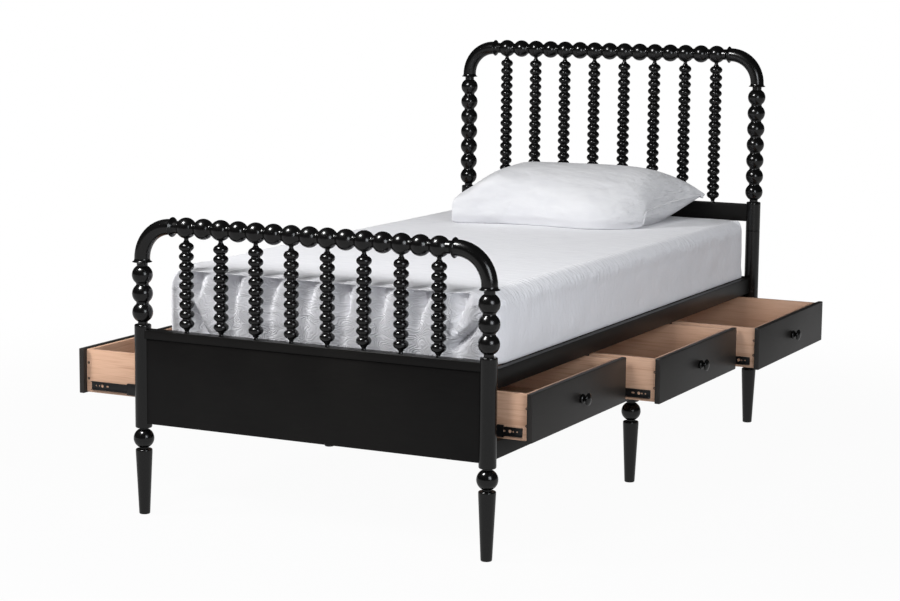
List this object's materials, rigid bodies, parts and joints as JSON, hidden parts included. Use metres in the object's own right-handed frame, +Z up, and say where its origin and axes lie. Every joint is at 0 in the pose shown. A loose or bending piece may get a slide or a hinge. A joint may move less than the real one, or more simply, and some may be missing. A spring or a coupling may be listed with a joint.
{
  "type": "platform bed",
  "caption": "Twin platform bed with bead-turned head and foot boards, drawers on slides along both sides, slatted base, mattress and pillow.",
  "frame": {"origin": "on the floor under the middle of the bed", "axes": "+X across the bed to its right side seen from the foot end, +Y from the foot board to the head board, +Z up"},
  "size_m": [1.59, 2.0256, 1.2188],
  "materials": {
    "black_paint": "satin",
    "plain_wood": "matte",
    "drawer_wood": "satin",
    "knob_bronze": "satin",
    "black_steel": "satin",
    "mattress_cover": "matte",
    "pillow_case": "matte"
  },
  "bodies": {
    "frame": {"headboard_upper_post_left": "black_paint", "headboard_upper_post_right": "black_paint", "headboard_lower_post_left": "black_paint", "headboard_lower_post_right": "black_paint", "headboard_elbows": "black_paint", "headboard_bead_rail": "black_paint", "headboard_spindles": "black_paint", "headboard_cross_rail": "black_paint", "headboard_end_rail": "black_paint", "footboard_post_left": "black_paint", "footboard_post_right": "black_paint", "footboard_elbows": "black_paint", "footboard_bead_rail": "black_paint", "footboard_spindles": "black_paint", "footboard_cap_rail": "black_paint", "footboard_panel": "black_paint", "side_rail_left": "black_paint", "side_rail_right": "black_paint", "bottom_rail_left": "black_paint", "bottom_rail_right": "black_paint", "middle_leg_left": "black_paint", "middle_leg_right": "black_paint", "centre_beam": "plain_wood", "slat_ledges": "plain_wood", "slats": "plain_wood", "partitions": "black_paint", "fixed_slides": "black_steel", "mattress": "mattress_cover", "pillow": "pillow_case"},
    "drawer_right_1": {"drawer_front_right_1": "black_paint", "drawer_box_right_1": "drawer_wood", "drawer_knob_right_1": "knob_bronze", "drawer_slides_right_1": "black_steel"},
    "slide_right_1": {"middle_slides_right_1": "black_steel"},
    "drawer_right_2": {"drawer_front_right_2": "black_paint", "drawer_box_right_2": "drawer_wood", "drawer_knob_right_2": "knob_bronze", "drawer_slides_right_2": "black_steel"},
    "slide_right_2": {"middle_slides_right_2": "black_steel"},
    "drawer_right_3": {"drawer_front_right_3": "black_paint", "drawer_box_right_3": "drawer_wood", "drawer_knob_right_3": "knob_bronze", "drawer_slides_right_3": "black_steel"},
    "slide_right_3": {"middle_slides_right_3": "black_steel"},
    "drawer_left_1": {"drawer_front_left_1": "black_paint", "drawer_box_left_1": "drawer_wood", "drawer_knob_left_1": "knob_bronze", "drawer_slides_left_1": "black_steel"},
    "slide_left_1": {"middle_slides_left_1": "black_steel"},
    "drawer_left_2": {"drawer_front_left_2": "black_paint", "drawer_box_left_2": "drawer_wood", "drawer_knob_left_2": "knob_bronze", "drawer_slides_left_2": "black_steel"},
    "slide_left_2": {"middle_slides_left_2": "black_steel"},
    "drawer_left_3": {"drawer_front_left_3": "black_paint", "drawer_box_left_3": "drawer_wood", "drawer_knob_left_3": "knob_bronze", "drawer_slides_left_3": "black_steel"},
    "slide_left_3": {"middle_slides_left_3": "black_steel"}
  },
  "joints": [
    {"name": "drawer_right_1_travel", "type": "slide", "parent": "frame", "child": "drawer_right_1", "axis": [1, 0, 0], "range_m": [-0.097, 0.283]},
    {"name": "slide_right_1_travel", "type": "slide", "parent": "frame", "child": "slide_right_1", "axis": [1, 0, 0], "range_m": [-0.0485, 0.1415]},
    {"name": "drawer_right_2_travel", "type": "slide", "parent": "frame", "child": "drawer_right_2", "axis": [1, 0, 0], "range_m": [-0.19, 0.19]},
    {"name": "slide_right_2_travel", "type": "slide", "parent": "frame", "child": "slide_right_2", "axis": [1, 0, 0], "range_m": [-0.095, 0.095]},
    {"name": "drawer_right_3_travel", "type": "slide", "parent": "frame", "child": "drawer_right_3", "axis": [1, 0, 0], "range_m": [-0.255, 0.125]},
    {"name": "slide_right_3_travel", "type": "slide", "parent": "frame", "child": "slide_right_3", "axis": [1, 0, 0], "range_m": [-0.1275, 0.0625]},
    {"name": "drawer_left_1_travel", "type": "slide", "parent": "frame", "child": "drawer_left_1", "axis": [-1, 0, 0], "range_m": [-0.242, 0.138]},
    {"name": "slide_left_1_travel", "type": "slide", "parent": "frame", "child": "slide_left_1", "axis": [-1, 0, 0], "range_m": [-0.121, 0.069]},
    {"name": "drawer_left_2_travel", "type": "slide", "parent": "frame", "child": "drawer_left_2", "axis": [-1, 0, 0], "range_m": [-0.19, 0.19]},
    {"name": "slide_left_2_travel", "type": "slide", "parent": "frame", "child": "slide_left_2", "axis": [-1, 0, 0], "range_m": [-0.095, 0.095]},
    {"name": "drawer_left_3_travel", "type": "slide", "parent": "frame", "child": "drawer_left_3", "axis": [-1, 0, 0], "range_m": [-0.255, 0.125]},
    {"name": "slide_left_3_travel", "type": "slide", "parent": "frame", "child": "slide_left_3", "axis": [-1, 0, 0], "range_m": [-0.1275, 0.0625]}
  ],
  "couplings": [
    {"joint": "slide_right_1_travel", "follows": "drawer_right_1_travel", "ratio": 0.5},
    {"joint": "slide_right_2_travel", "follows": "drawer_right_2_travel", "ratio": 0.5},
    {"joint": "slide_right_3_travel", "follows": "drawer_right_3_travel", "ratio": 0.5},
    {"joint": "slide_left_1_travel", "follows": "drawer_left_1_travel", "ratio": 0.5},
    {"joint": "slide_left_2_travel", "follows": "drawer_left_2_travel", "ratio": 0.5},
    {"joint": "slide_left_3_travel", "follows": "drawer_left_3_travel", "ratio": 0.5}
  ]
}
